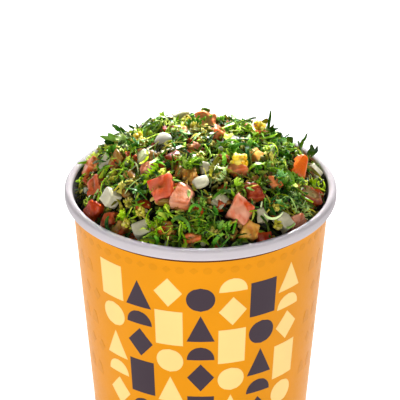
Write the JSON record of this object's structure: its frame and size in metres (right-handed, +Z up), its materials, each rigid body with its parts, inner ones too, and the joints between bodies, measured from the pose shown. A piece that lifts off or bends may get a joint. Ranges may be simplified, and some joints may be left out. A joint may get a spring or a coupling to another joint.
{
  "type": "tabbouleh salad in a paper tub",
  "caption": "Chopped herb, tomato, onion and bulgur salad heaped above the rolled rim of a round tapered paper tub.",
  "frame": {"origin": "centre of the tub's foot, on the table", "axes": "+Z up along the tub's axis; -Y is the shown front; +X to its right"},
  "size_m": [0.115, 0.115, 0.1324],
  "materials": {
    "printed_board": "satin printed paper board, orange with a white rolled rim and white inside",
    "plain_board": "plain white paper board",
    "chopped_salad": "moist chopped parsley with tomato, onion and bulgur"
  },
  "bodies": {
    "root": {"tub_wall": "printed_board", "tub_base": "plain_board", "salad_heap": "chopped_salad"}
  },
  "joints": []
}
